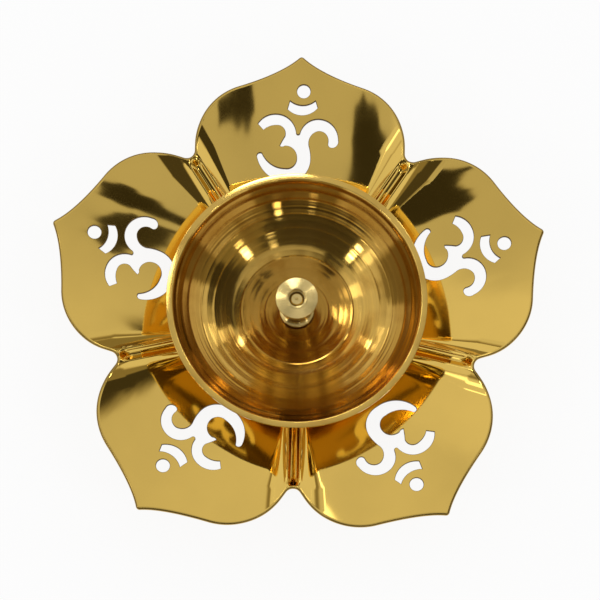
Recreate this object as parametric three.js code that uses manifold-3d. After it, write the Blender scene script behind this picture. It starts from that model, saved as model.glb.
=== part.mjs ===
// Lotus diya: a brass oil lamp, five pierced petals round a turned bowl.
// Millimetres, +Z up. The origin is the centre of the foot's underside, and one petal points along +Y.
import * as THREE from 'three';
import { mergeVertices } from 'three/addons/utils/BufferGeometryUtils.js';
import Module from 'manifold-3d';

const wasm = await Module();
wasm.setup();

// Stud and its fastenings, as for an M4 thread
const studRadius = 2;
const studInFoot = 8;
const studClearance = 0.3;
const nutSides = 6;
const nutAcrossFlats = 7;
const nutHeight = 2.2;
const nutCover = 0.8; // free height over the nut, under the bowl
const washerRadius = 5.5;
const washerHeight = 1;
const washerFacets = 24;

// Foot
const footHeight = 12;
const footRadius = 27;
const footEdge = 3.6;
const footRounding = 0.8;
const footWaist = 12.5;
const footTopRadius = 15;
const footTopEdge = 1.6;
const footFacets = 40;
const coveSteps = 8;

// Bowl
const rimRadius = 39;
const rimWidth = 1.7;
const rimEdge = 0.6; // height of the rim's upright outer edge, under which the outside curves in
const bowlDepth = 16.2;
const bowlBend = { radius: 23, depth: 12 }; // a point on the inside, which with the edges gives its arc
const bowlWall = 1.4; // at the floor
const bowlFloorRadius = 7;
const bowlRingRadius = 13.4;
const bowlRingWall = 2.6;
const bowlFacets = 48;
const bowlSteps = { inside: 9, outside: 8 };

// Wick post
const sealRadius = 4.8;
const sealHeight = 1;
const postAboveRim = 1.8;
const postFlangeRadius = 5.2;
const postFlange = 0.9;
const stemRadius = 3.4;
const stemFlare = 2.6; // height of the hollow curve over the flange, and of the one under the head
const headRadius = 6.3;
const headEdge = 1.2;
const headDrop = 0.5; // fall of the head's cone from the lip to its edge
const lipRadius = 3.3;
const cupRadius = 2.6;
const cupDepth = 1.7;
const postFacets = 24;
const flareSteps = 4;

// Petal plate: its outline
const petalCount = 5;
const firstPetal = Math.PI / 2;
const sheet = 1.2;
const tipRadius = 78;
const tipRounding = 1;
const notchRadius = 56.2;
const notchFillet = 2.5;
const sideLength = 2.4;
const shoulderRadius = 19.8;
const shoulderSweep = THREE.MathUtils.degToRad(70);
const neckLength = 13.5;
const petalSteps = { notch: 3, shoulder: 8, neck: 6 };

// Petal plate: its dished surface
const seatMargin = 2.6; // flat left round the bowl's ring
const tipRise = 16.2;
const riseSwell = 0.25; // extra steepness near the bowl, as a share of the mean
const dishDepth = 5; // the sides of a petal above its middle line
const dishStart = 12;

// Petal plate: the two crests pressed between neighbouring petals, with a gutter between them
const crestOffset = 1.9;
const crestStart = 20;
const crestFull = 34;
const crestHeight = { inner: 2.1, outer: 3 };
const flankWidth = { inner: 1.8, outer: 5.4 };
const gutterDepth = 1.5;
const gutterLip = 4;

// Petal plate: columns of its mesh between a rib and a petal's middle, and the step of its rings
const gutterColumns = [0, 0.55, 1]; // shares of the crest's offset
const flankColumns = [0.22, 0.5, 1]; // shares of the flank's width
const openColumns = 3;
const ringStep = 5;

// Om stencil: [middle, end] is an arc from the point before, and [end] a line
const stencilCentre = 50;
const omSteps = 3;
const omStart = [-12.6, 5];
const omBody = [
  [[-10.4, 7.2], [-6.8, 8.1]],
  [[-2.5, 6.2], [-0.9, 2.5]],
  [[-0.3, 2.1], [0.4, 2.6]],
  [[2.1, 5.4], [5.5, 6.8]],
  [[10.2, 5], [12, 0.7]],
  [[11.4, -1.3], [10, -1.7]],
  [[9.2, -1.2], [9.05, -0.3]],
  [[8.1, 2.6], [5.9, 3.3]],
  [[3.8, 2.1], [3, -1]],
  [[3.5, -3.2], [3.6, -5.5]],
  [[1.5, -10], [-3.7, -11.8]],
  [[-9.6, -9.8], [-12.7, -4.9]],
  [[-12.4, -3.8], [-11.3, -3.7]],
  [[-8.7, -6.7], [-4.1, -8]],
  [[-1.1, -6.8], [-0.45, -4.4]],
  [[-1.7, -2], [-4.35, -1.2]],
  [[-5.1, -1.5], [-5.8, -1.3]],
  [[-5.1, 0.1], [-4.15, 1.7]],
  [[-4.8, 4.2], [-6.8, 4.9]],
  [[-9.2, 4.4], [-10.9, 3.3]],
];
const crescentStart = [-2.9, 12.2];
const crescent = [
  [[1.2, 10.9], [4.9, 12.3]],
  [[5.6, 10.2]],
  [[1.4, 8], [-3.6, 9.7]],
];
const dotCentre = [1.25, 15.1];
const dotRadius = 2.05;
const dotFacets = 14;

// How the stencil was set on each petal by hand: sideways, outwards and turned, in degrees
const stencilSettings = [
  { side: -0.4, out: 2.4, turn: 0 },
  { side: 0.1, out: 0.4, turn: -1 },
  { side: 0.8, out: -2.2, turn: -1 },
  { side: 0.8, out: -0.1, turn: 0 },
  { side: -0.2, out: 0.6, turn: 5 },
];

// Heights and radii that follow
const plateTop = footHeight + sheet;
const plateWasherTop = plateTop + washerHeight;
const plateNutTop = plateWasherTop + nutHeight;
const bowlUnderside = plateNutTop + nutCover;
const bowlFloor = bowlUnderside + bowlWall;
const rimTop = bowlFloor + bowlDepth;
const postBottom = bowlFloor + sealHeight;
const postTop = rimTop + postAboveRim;
const studTop = postTop - cupDepth;
const studBottom = footHeight - studInFoot;
const studHole = studRadius + studClearance;
const sector = (2 * Math.PI) / petalCount;
const halfSector = sector / 2;
const flatRadius = bowlRingRadius + seatMargin;

// Shared helpers

function circleThrough([ax, ay], [bx, by], [cx, cy]) {
  const cross = 2 * ((bx - ax) * (cy - ay) - (by - ay) * (cx - ax));
  const b2 = (bx - ax) ** 2 + (by - ay) ** 2;
  const c2 = (cx - ax) ** 2 + (cy - ay) ** 2;
  const x = ax + ((cy - ay) * b2 - (by - ay) * c2) / cross;
  const y = ay + ((bx - ax) * c2 - (cx - ax) * b2) / cross;
  return { centre: [x, y], radius: Math.hypot(ax - x, ay - y), clockwise: cross < 0 };
}

function angleFrom([x, y], [px, py]) {
  return Math.atan2(py - y, px - x);
}

// Points on a circle from one angle to another, both ends included.
function sweep([x, y], radius, from, to, steps) {
  return Array.from({ length: steps + 1 }, (_, i) => {
    const angle = THREE.MathUtils.lerp(from, to, i / steps);
    return [x + radius * Math.cos(angle), y + radius * Math.sin(angle)];
  });
}

function arc(start, middle, end, steps) {
  const { centre, radius, clockwise } = circleThrough(start, middle, end);
  const from = angleFrom(centre, start);
  const turn = THREE.MathUtils.euclideanModulo(angleFrom(centre, end) - from, 2 * Math.PI);
  return sweep(centre, radius, from, clockwise ? from + turn - 2 * Math.PI : from + turn, steps);
}

function bend(start, control, end, steps) {
  const [a, b, c] = [start, control, end].map((p) => new THREE.Vector2(...p));
  return new THREE.QuadraticBezierCurve(a, b, c).getPoints(steps).map((p) => p.toArray());
}

// A closed outline of arcs and lines that ends where it started.
function outline(start, runs, steps) {
  const points = [start];
  for (const run of runs) {
    const from = points.at(-1);
    points.push(...(run.length === 2 ? arc(from, ...run, steps).slice(1) : run));
  }
  return points;
}

function shapeOf(points) {
  return new THREE.Shape(points.map((p) => new THREE.Vector2(...p)));
}

function prism(shape, bottom, top) {
  const options = { depth: top - bottom, bevelEnabled: false };
  return new THREE.ExtrudeGeometry(shape, options).translate(0, 0, bottom);
}

// Turned about Z from [radius, height] points: out along the bottom, up the outside, in along the top.
function turned(profile, facets) {
  const points = profile.map((p) => new THREE.Vector2(...p));
  return new THREE.LatheGeometry(points, facets).rotateX(Math.PI / 2);
}

function ring(inner, outer, bottom, top, facets) {
  const profile = [[inner, bottom], [outer, bottom], [outer, top], [inner, top], [inner, bottom]];
  return turned(profile, facets);
}

function welded(geometry) {
  geometry.deleteAttribute('normal');
  geometry.deleteAttribute('uv');
  return mergeVertices(geometry);
}

function solid(geometry) {
  const merged = welded(geometry);
  const triVerts = new Uint32Array(merged.index.array);
  const vertProperties = new Float32Array(merged.attributes.position.array);
  return new wasm.Manifold(new wasm.Mesh({ numProp: 3, vertProperties, triVerts }));
}

function geometryOf(manifold) {
  const { vertProperties, triVerts } = manifold.getMesh();
  const geometry = new THREE.BufferGeometry();
  geometry.setAttribute('position', new THREE.BufferAttribute(vertProperties, 3));
  geometry.setIndex(new THREE.BufferAttribute(triVerts, 1));
  return geometry;
}

// Petal plate

// From the middle of the notch on a petal's right to its tip, as [across, outwards].
function halfPetal() {
  const notchReach = notchRadius + notchFillet;
  const notchCentre = [notchReach * Math.sin(halfSector), notchReach * Math.cos(halfSector)];
  const shoulderCentre = [notchCentre[0] - notchFillet - shoulderRadius, notchCentre[1] + sideLength];
  const notch = sweep(notchCentre, notchFillet, -Math.PI / 2 - halfSector, -Math.PI, petalSteps.notch);
  const shoulder = sweep(shoulderCentre, shoulderRadius, 0, shoulderSweep, petalSteps.shoulder);
  const [footAcross, footOut] = shoulder.at(-1);
  const neckBend = [
    footAcross - neckLength * Math.sin(shoulderSweep),
    footOut + neckLength * Math.cos(shoulderSweep),
  ];
  const tipSide = [tipRounding, tipRadius - tipRounding / 2];
  const neck = bend(shoulder.at(-1), neckBend, tipSide, petalSteps.neck);
  return [...notch, ...shoulder, ...neck.slice(1), [0, tipRadius]];
}

function onPetal(petal, [across, outwards]) {
  const angle = firstPetal + petal * sector;
  return [
    outwards * Math.cos(angle) + across * Math.sin(angle),
    outwards * Math.sin(angle) - across * Math.cos(angle),
  ];
}

function eachPetal(make) {
  return Array.from({ length: petalCount }, (_, petal) => make(petal));
}

function flowerShape() {
  const right = halfPetal();
  const left = right.slice(1, -1).reverse().map(([across, outwards]) => [-across, outwards]);
  return shapeOf(eachPetal((petal) => [...right, ...left].map((p) => onPetal(petal, p))).flat());
}

// Where a point lies: across and outwards on its petal, over and along its nearest rib.
function placeOnPlate(x, y) {
  const radius = Math.hypot(x, y);
  const turn = Math.atan2(y, x) - firstPetal;
  const fromPetal = turn - sector * Math.round(turn / sector);
  const fromRib = halfSector - Math.abs(fromPetal);
  return {
    across: radius * Math.sin(fromPetal),
    outwards: radius * Math.cos(fromPetal),
    overRib: radius * Math.sin(fromRib),
    alongRib: radius * Math.cos(fromRib),
  };
}

function atRib({ inner, outer }, alongRib) {
  const share = THREE.MathUtils.clamp((alongRib - crestFull) / (notchRadius - crestFull), 0, 1);
  return THREE.MathUtils.lerp(inner, outer, share);
}

function ribRise(overRib, alongRib) {
  const fade = THREE.MathUtils.smoothstep(alongRib, crestStart, crestFull);
  const crest = fade * atRib(crestHeight, alongRib);
  if (overRib < crestOffset) {
    const open = 1 - THREE.MathUtils.smoothstep(alongRib, notchRadius - gutterLip, notchRadius);
    return crest - fade * open * gutterDepth * (1 - (overRib / crestOffset) ** 2);
  }
  const down = Math.min(1, (overRib - crestOffset) / atRib(flankWidth, alongRib));
  return crest * (1 - down) ** 2;
}

// Height of the pressed sheet above its flat middle.
function plateRise(x, y) {
  const { across, outwards, overRib, alongRib } = placeOnPlate(x, y);
  const halfWidth = notchRadius * Math.sin(halfSector);
  const share = Math.max(0, outwards - flatRadius) / (tipRadius - flatRadius);
  const rise = tipRise * share * (1 + riseSwell * (1 - share));
  const fade = THREE.MathUtils.smoothstep(outwards, flatRadius, flatRadius + dishStart);
  return rise + fade * dishDepth * (across / halfWidth) ** 2 + ribRise(overRib, alongRib);
}

// Angle from a rib to one of the mesh's columns: near the rib the columns run along it.
function columnAngle(column, columns, radius) {
  const gutter = gutterColumns.map((share) => share * crestOffset);
  const flank = flankColumns.map((share) => crestOffset + share * atRib(flankWidth, radius));
  const offsets = [...gutter, ...flank];
  const even = (halfSector * column) / columns;
  const beside = (offset) => Math.asin(Math.min(1, offset / radius));
  if (column < offsets.length) return Math.min(even, beside(offsets[column]));
  const last = Math.min((halfSector * (offsets.length - 1)) / columns, beside(offsets.at(-1)));
  return THREE.MathUtils.lerp(last, halfSector, (column - offsets.length + 1) / openColumns);
}

// The sheet before it is cut out: a turned disc whose points are moved onto the pressed surface.
function pressedSheet() {
  const seatRadius = flatRadius - ringStep / 2;
  const rings = Math.ceil((tipRadius + tipRounding - seatRadius) / ringStep);
  const radii = [studHole, ...Array.from({ length: rings + 1 }, (_, i) => seatRadius + i * ringStep)];
  const under = radii.map((radius) => [radius, plateTop - sheet]);
  const over = radii.map((radius) => [radius, plateTop]).reverse();
  const columns = gutterColumns.length + flankColumns.length - 1 + openColumns;
  const perPetal = 2 * columns;
  const disc = turned([...under, ...over, under[0]], petalCount * perPetal);
  const position = disc.attributes.position;
  for (let i = 0; i < position.count; i += 1) {
    const radius = Math.hypot(position.getX(i), position.getY(i));
    const turn = Math.atan2(position.getY(i), position.getX(i)) - firstPetal + halfSector;
    const step = Math.round((turn * perPetal) / sector);
    const inPetal = THREE.MathUtils.euclideanModulo(step, perPetal);
    const column = Math.min(inPetal, perPetal - inPetal);
    const inside = columnAngle(column, columns, radius);
    const start = firstPetal - halfSector + ((step - inPetal) * sector) / perPetal;
    const angle = start + (inPetal > columns ? sector - inside : inside);
    const [x, y] = [radius * Math.cos(angle), radius * Math.sin(angle)];
    position.setXYZ(i, x, y, position.getZ(i) + plateRise(x, y));
  }
  return disc;
}

function stencilShapes(petal) {
  const { side, out, turn } = stencilSettings[petal % stencilSettings.length];
  const centre = new THREE.Vector2();
  const place = (point) => {
    const [across, outwards] = new THREE.Vector2(...point)
      .rotateAround(centre, THREE.MathUtils.degToRad(turn))
      .toArray();
    return onPetal(petal, [across + side, outwards + stencilCentre + out]);
  };
  const dot = sweep(dotCentre, dotRadius, 0, 2 * Math.PI, dotFacets).slice(1);
  const body = outline(omStart, omBody, omSteps);
  const moon = outline(crescentStart, crescent, omSteps);
  return [body, moon, dot].map((points) => shapeOf(points.map(place)));
}

function petalPlate() {
  const bottom = 0;
  const top = plateTop + tipRise + dishDepth + crestHeight.outer;
  let plate = solid(pressedSheet()).intersect(solid(prism(flowerShape(), bottom, top)));
  for (const shape of eachPetal(stencilShapes).flat()) {
    plate = plate.subtract(solid(prism(shape, bottom, top)));
  }
  return geometryOf(plate);
}

// Turned pieces

function foot() {
  const socket = studBottom - studClearance;
  const coveTop = [footTopRadius, footHeight - footTopEdge];
  const coveFoot = [footRadius - footRounding, footEdge];
  return turned(
    [
      [0, 0],
      [footRadius - footRounding, 0],
      [footRadius, footRounding],
      [footRadius, footEdge - footRounding],
      ...bend(coveFoot, [footWaist, footEdge], coveTop, coveSteps),
      [footTopRadius, footHeight],
      [studHole, footHeight],
      [studHole, socket],
      [0, socket],
    ],
    footFacets,
  );
}

function oilBowl() {
  const innerEdge = [rimRadius - rimWidth, rimTop];
  const middle = [bowlBend.radius, rimTop - bowlBend.depth];
  const floorEdge = [bowlFloorRadius, bowlFloor];
  const inside = arc(innerEdge, middle, floorEdge, bowlSteps.inside);
  const { centre } = circleThrough(innerEdge, middle, floorEdge);
  const outer = Math.hypot(rimRadius - centre[0], rimTop - rimEdge - centre[1]);
  const onOuter = (across) => -Math.acos((across - centre[0]) / outer);
  return turned(
    [
      [studHole, bowlUnderside],
      [bowlRingRadius - bowlRingWall, bowlUnderside],
      [bowlRingRadius - bowlRingWall, plateTop],
      [bowlRingRadius, plateTop],
      ...sweep(centre, outer, onOuter(bowlRingRadius), onOuter(rimRadius), bowlSteps.outside),
      [rimRadius, rimTop],
      ...inside,
      [studHole, bowlFloor],
      [studHole, bowlUnderside],
    ],
    bowlFacets,
  );
}

function wickPost() {
  const flangeTop = postBottom + postFlange;
  const headUnder = postTop - headDrop - headEdge;
  const stemTop = headUnder - stemFlare;
  const flareTop = [stemRadius, flangeTop + stemFlare];
  return turned(
    [
      [studHole, postBottom],
      [postFlangeRadius, postBottom],
      ...bend([postFlangeRadius, flangeTop], [stemRadius, flangeTop], flareTop, flareSteps),
      ...bend([stemRadius, stemTop], [stemRadius, headUnder], [headRadius, headUnder], flareSteps),
      [headRadius, postTop - headDrop],
      [lipRadius, postTop],
      [cupRadius, postTop],
      [studHole, studTop],
      [studHole, postBottom],
    ],
    postFacets,
  );
}

function centreStud() {
  const profile = [[0, studBottom], [studRadius, studBottom], [studRadius, studTop], [0, studTop]];
  return turned(profile, washerFacets);
}

function plateNut() {
  const corner = nutAcrossFlats / 2 / Math.cos(Math.PI / nutSides);
  const shape = shapeOf(sweep([0, 0], corner, 0, 2 * Math.PI, nutSides).slice(1));
  shape.holes.push(shapeOf(sweep([0, 0], studHole, 0, 2 * Math.PI, washerFacets).slice(1)));
  return prism(shape, plateWasherTop, plateNutTop);
}

// Finishes
const polishedBrass = { color: 0xc9a24c, roughness: 0.12, metalness: 1 };
const turnedBrass = { color: 0xbf9440, roughness: 0.22, metalness: 1 };
const satinBrass = { color: 0xd0b473, roughness: 0.35, metalness: 1 };
const fibre = { color: 0x5b3a26, roughness: 0.8, metalness: 0 };

const lamp = new THREE.Group();

function add(name, geometry, finish) {
  const mesh = new THREE.Mesh(geometry, new THREE.MeshStandardMaterial(finish));
  mesh.name = name;
  lamp.add(mesh);
}

add('foot', foot(), polishedBrass);
add('petal_plate', petalPlate(), polishedBrass);
add('plate_washer', ring(studHole, washerRadius, plateTop, plateWasherTop, washerFacets), satinBrass);
add('plate_nut', plateNut(), satinBrass);
add('centre_stud', centreStud(), satinBrass);
add('oil_bowl', oilBowl(), turnedBrass);
add('seal_washer', ring(studHole, sealRadius, bowlFloor, postBottom, washerFacets), fibre);
add('wick_post', wickPost(), satinBrass);

export default lamp;
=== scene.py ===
"""Looks of the lotus diya: pressed and pierced petal plate, turned bowl, wick post, foot and fastenings."""

import math
from itertools import accumulate

import bmesh
import bpy
from bpy.props import FloatProperty, FloatVectorProperty, IntProperty, PointerProperty
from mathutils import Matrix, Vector


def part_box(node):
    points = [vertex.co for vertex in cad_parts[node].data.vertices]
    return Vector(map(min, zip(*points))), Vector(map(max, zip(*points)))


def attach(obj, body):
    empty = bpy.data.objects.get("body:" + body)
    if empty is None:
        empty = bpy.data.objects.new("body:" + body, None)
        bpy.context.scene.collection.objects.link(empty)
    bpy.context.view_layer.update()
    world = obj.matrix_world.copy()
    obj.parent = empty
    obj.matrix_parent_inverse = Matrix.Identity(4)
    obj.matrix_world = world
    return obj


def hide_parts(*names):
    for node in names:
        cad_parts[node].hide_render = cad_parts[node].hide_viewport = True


bl_info = {
    "name": "Lotus diya",
    "version": (1, 0, 0),
    "blender": (4, 5, 0),
    "location": "View3D > Sidebar > Diya",
    "description": "Models a brass oil lamp with a pierced lotus flower plate round its bowl",
    "category": "Add Mesh",
}

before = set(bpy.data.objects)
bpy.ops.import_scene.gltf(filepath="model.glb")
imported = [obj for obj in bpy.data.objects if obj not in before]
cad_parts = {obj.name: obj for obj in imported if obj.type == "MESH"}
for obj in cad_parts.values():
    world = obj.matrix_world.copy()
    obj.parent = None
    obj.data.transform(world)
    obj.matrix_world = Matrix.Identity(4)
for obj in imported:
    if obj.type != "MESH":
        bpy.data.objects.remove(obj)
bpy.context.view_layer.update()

MM = 0.001

# Kept free round the stud, over the nut, and between the thread's root and the neck under the stud's tip
STUD_CLEARANCE = 0.3 * MM
NUT_CLEARANCE = 0.8 * MM
NECK_CLEARANCE = 0.1 * MM


# Places read from the frame, in metres

def low(node):
    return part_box(node)[0]


def high(node):
    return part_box(node)[1]


FOOT_TOP = high("foot").z
FOOT_RADIUS = high("foot").x
PLATE_TOP = low("plate_washer").z
SHEET = PLATE_TOP - FOOT_TOP
BOWL_UNDERSIDE = high("plate_nut").z + NUT_CLEARANCE
BOWL_FLOOR = low("seal_washer").z
RIM_TOP = high("oil_bowl").z
RIM_RADIUS = high("oil_bowl").x
POST_BOTTOM = low("wick_post").z
POST_TOP = high("wick_post").z
POST_HEAD = high("wick_post").x
STUD_BOTTOM = low("centre_stud").z
STUD_TOP = high("centre_stud").z
STUD_RADIUS = high("centre_stud").x
STUD_HOLE = STUD_RADIUS + STUD_CLEARANCE


# Petals: the outline, in millimetres

PETALS = 5
SECTOR = 2 * math.pi / PETALS
HALF_SECTOR = SECTOR / 2
FIRST_PETAL = math.pi / 2
TIP_RADIUS = 78
TIP_ROUNDING = 1
NOTCH_RADIUS = 56.2
NOTCH_FILLET = 2.5
SIDE_LENGTH = 2.4
SHOULDER_RADIUS = 19.8
SHOULDER_SWEEP = math.radians(70)
NECK_LENGTH = 13.5

# Petals: the pressed surface, with a rib on each side and a gutter along its crest, in millimetres
FLAT_RADIUS = 16
TIP_RISE = 16.2
RISE_SWELL = 0.25
DISH_DEPTH = 5
DISH_START = 12
CREST_OFFSET = 1.9
CREST_START = 20
CREST_FULL = 34
CREST_HEIGHT = (2.1, 3)
FLANK_WIDTH = (1.8, 7.2)
GUTTER_DEPTH = 1.5
GUTTER_LIP = 4
CREST_ROUNDING = 0.9
RIDGE_ROUNDING = 1.6

# Om stencil, in millimetres from its centre: a pair is an arc by its middle and end, and one point a line
STENCIL_CENTRE = 50
OM_START = (-12.6, 5)
OM_BODY = (
    ((-10.4, 7.2), (-6.8, 8.1)),
    ((-2.5, 6.2), (-0.9, 2.5)),
    ((-0.3, 2.1), (0.4, 2.6)),
    ((2.1, 5.4), (5.5, 6.8)),
    ((10.2, 5), (12, 0.7)),
    ((11.4, -1.3), (10, -1.7)),
    ((9.2, -1.2), (9.05, -0.3)),
    ((8.1, 2.6), (5.9, 3.3)),
    ((3.8, 2.1), (3, -1)),
    ((3.5, -3.2), (3.6, -5.5)),
    ((1.5, -10), (-3.7, -11.8)),
    ((-9.6, -9.8), (-12.7, -4.9)),
    ((-12.4, -3.8), (-11.3, -3.7)),
    ((-8.7, -6.7), (-4.1, -8)),
    ((-1.1, -6.8), (-0.45, -4.4)),
    ((-1.7, -2), (-4.35, -1.2)),
    ((-5.1, -1.5), (-5.8, -1.3)),
    ((-5.1, 0.1), (-4.15, 1.7)),
    ((-4.8, 4.2), (-6.8, 4.9)),
    ((-9.2, 4.4), (-10.9, 3.3)),
    (OM_START,),
)
CRESCENT_START = (-2.9, 12.2)
CRESCENT = (
    ((1.2, 10.9), (4.9, 12.3)),
    ((5.6, 10.2),),
    ((1.4, 8), (-3.6, 9.7)),
    (CRESCENT_START,),
)
DOT_CENTRE = (1.25, 15.1)
DOT_RADIUS = 2.05

# How the stencil was set on each petal by hand: sideways and outwards in millimetres, and turned in degrees
STENCIL_SETTINGS = ((-0.4, 2.4, 0), (0.1, 0.4, -1), (0.8, -2.2, -1), (0.8, -0.1, 0), (-0.2, 0.6, 5))


# Turning marks in the bowl, in millimetres: waves by height, length, phase, grooves by radius, width, depth
BOWL_STEP = 0.25 * MM
BOWL_WAVES = ((0.012, 3.7, 1), (0.008, 2.3, 0), (0.02, 6.1, 2), (0.003, 1.1, 0))
BOWL_GROOVES = (
    (36.2, 0.5, 0.06),
    (34.4, 0.6, 0.05),
    (32.3, 0.6, 0.06),
    (30.6, 0.35, 0.03),
    (28.7, 0.3, 0.05),
    (24.9, 0.3, 0.04),
    (21.4, 0.25, 0.02),
    (16.85, 0.35, 0.1),
    (9.45, 0.3, 0.04),
)

# The bowl's outside is where normals rise less than this
OUTSIDE_RISE = 0.1

# Painted shade in the bowl, for its darker inside: its share all over, more on the floor and up the wall, and
# the radii where each fades
INSIDE_PAINTED_SHADE = 0.3
FLOOR_PAINTED_SHADE = 0.5
FLOOR_FADE = (16.6 * MM, 17.1 * MM)
WALL_PAINTED_SHADE = 0.55
WALL_FADE = (27 * MM, 34 * MM)


# Fastenings: the nut's chamfer, the tooth in shares of the thread's pitch, and the slope of the drill's mark
NUT_SIDES = 6
NUT_CHAMFER = math.radians(30)
THREAD_TOOTH = (0, 0.15, 0.45, 0.6)
DRILL_SLOPE = math.radians(60)

# Facets of curves and of small turned pieces, and the angle at which an edge is sharp
TIP_STEPS = 3
EDGE_STEPS = 4
NOTCH_STEPS = 8
FLARE_STEPS = 12
HOLE_STEPS = 16
DOT_STEPS = 40
COVE_STEPS = 40
WALL_STEPS = 60
THREAD_STEPS = 48
RING_STEPS = 96
CREASE = math.radians(32)

# Lamps round the bowl: azimuth and elevation in degrees, width and height in metres, and brightness
SOFTBOXES = (
    ("key_right", -34, 46, 0.1, 0.12, 14),
    ("key_left", -148, 43, 0.1, 0.14, 14),
    ("key_front", -75, 28, 0.08, 0.06, 16),
    ("edge_right", 35, 24, 0.3, 0.04, 5),
    ("edge_left", 145, 24, 0.3, 0.04, 4),
)
LAMP_DISTANCE = 1.2

# Small lamps close above that light only the bowl and post: the same, and the place aimed at in millimetres
NEAR_LAMPS = (
    ("near_back", 99, 55, 0.04, 0.03, 12, (2, -11)),
    ("near_left", 143, 61, 0.025, 0.03, 8, (9.5, -4)),
    ("near_right", 50, 44, 0.012, 0.05, 9, (-13, -11)),
    ("near_low_left", 137, 31, 0.015, 0.05, 8, (15, -13)),
)
NEAR_DISTANCE = 0.22
LIT_FROM_NEAR = ("turned_bowl", "turned_post")

# Cards that the brass mirrors: azimuth, elevation, width, height and soft edge in degrees, and brightness
CARDS = (
    ("pale_left", 175, 47, 56, 28, 5, 0.88),
    ("dark_right", 8, 42, 36, 26, 3, 0.06),
    ("dark_front", -105, 46, 60, 32, 5, 0.08),
    ("pale_back_right", 36, 13, 60, 28, 5, 0.9),
    ("pale_back_left", 138, 13, 52, 28, 5, 0.9),
    ("window_back", 104, 20, 30, 22, 1, 0.9),
    ("pale_low_left", -138, 13, 36, 18, 5, 0.9),
    ("pale_low_right", -40, 13, 36, 18, 5, 0.9),
    ("spark_back", 86, 37, 10, 7, 2, 3),
    ("spark_left", 178, 56, 5, 10, 2, 2.4),
    ("spark_low_left", 203, 36, 5, 12, 2, 2.2),
    ("spark_right", 38, 36, 5, 8, 2, 2.2),
    ("spark_front", -62, 55, 3, 5, 1, 2.5),
    ("spark_low_front", -100, 22, 4, 6, 1, 2.5),
    ("flag_right", 8, 69.5, 11, 4.5, 0.6, 0.05),
    ("flag_top", -22, 70, 3.5, 8, 0.6, 0.04),
    ("flag_left", -144, 66, 11, 9, 0.8, 0.04),
)
# Cards brighter than this are white, and darker ones take the horizon's colour
PALE = 0.5

# How far and how finely noise bends the cards' edges, and the noise's mean
WAVER = 0.16
WAVER_SCALE = 7.0
WAVER_MEAN = (0.5, 0.5, 0.5)

# The camera's film in millimetres, and colours
SENSOR_WIDTH = 36
PAPER = (0.9, 0.9, 0.9, 1)
WHITE = (1, 1, 1, 1)


# Curves in a plane

def lerp(a, b, share):
    return a + (b - a) * share


def smoothstep(low_end, high_end, value):
    share = min(1, max(0, (value - low_end) / (high_end - low_end)))
    return share * share * (3 - 2 * share)


def sweep(centre, radius, start, end, steps):
    """Points on a circle from one angle to another, both ends included."""
    angles = (lerp(start, end, i / steps) for i in range(steps + 1))
    return [(centre[0] + radius * math.cos(a), centre[1] + radius * math.sin(a)) for a in angles]


def circle_through(a, b, c):
    """Centre, radius and whether the way from a over b to c is clockwise."""
    (bx, by), (cx, cy) = (b[0] - a[0], b[1] - a[1]), (c[0] - a[0], c[1] - a[1])
    cross = 2 * (bx * cy - by * cx)
    x = (cy * (bx * bx + by * by) - by * (cx * cx + cy * cy)) / cross
    y = (bx * (cx * cx + cy * cy) - cx * (bx * bx + by * by)) / cross
    return (a[0] + x, a[1] + y), math.hypot(x, y), cross < 0


def arc(a, b, c, step):
    """Points from a over b to c, without a, about one step apart."""
    centre, radius, clockwise = circle_through(a, b, c)
    start = math.atan2(a[1] - centre[1], a[0] - centre[0])
    turn = (math.atan2(c[1] - centre[1], c[0] - centre[0]) - start) % (2 * math.pi)
    turn = turn - 2 * math.pi if clockwise else turn
    steps = max(3, math.ceil(radius * abs(turn) / step))
    return sweep(centre, radius, start, start + turn, steps)[1:]


def bend(a, b, c, steps):
    """A curve from a to c that leaves and arrives along the lines to b, without a."""
    shares = (i / steps for i in range(1, steps + 1))
    return [tuple(lerp(lerp(p, q, t), lerp(q, r, t), t) for p, q, r in zip(a, b, c)) for t in shares]


def trace(start, runs, step):
    """A closed outline of arcs and lines, without a second start point."""
    points = [start]
    for run in runs:
        if len(run) == 2:
            points += arc(points[-1], *run, step)
        else:
            gap = math.dist(points[-1], run[0])
            shares = range(1, math.ceil(gap / step) + 1)
            points += [tuple(lerp(p, q, i / len(shares)) for p, q in zip(points[-1], run[0])) for i in shares]
    return points[:-1]


def half_petal(step):
    """From the middle of the notch on a petal's right to its tip, as (across, outwards)."""
    reach = NOTCH_RADIUS + NOTCH_FILLET
    notch_centre = (reach * math.sin(HALF_SECTOR), reach * math.cos(HALF_SECTOR))
    shoulder_centre = (notch_centre[0] - NOTCH_FILLET - SHOULDER_RADIUS, notch_centre[1] + SIDE_LENGTH)
    notch = sweep(notch_centre, NOTCH_FILLET, -math.pi / 2 - HALF_SECTOR, -math.pi, NOTCH_STEPS)
    steps = round(SHOULDER_RADIUS * SHOULDER_SWEEP / step)
    shoulder = sweep(shoulder_centre, SHOULDER_RADIUS, 0, SHOULDER_SWEEP, steps)
    across, outwards = shoulder[-1]
    neck_bend = (
        across - NECK_LENGTH * math.sin(SHOULDER_SWEEP),
        outwards + NECK_LENGTH * math.cos(SHOULDER_SWEEP),
    )
    tip_side = (TIP_ROUNDING, TIP_RADIUS - TIP_ROUNDING / 2)
    neck = bend(shoulder[-1], neck_bend, tip_side, round(2 * NECK_LENGTH / step))
    side = (lerp(notch[-1][0], shoulder[0][0], 0.5), lerp(notch[-1][1], shoulder[0][1], 0.5))
    tip = bend(tip_side, (TIP_ROUNDING / 2, TIP_RADIUS), (0, TIP_RADIUS), TIP_STEPS)
    return [*notch, side, *shoulder, *neck, *tip]


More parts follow.
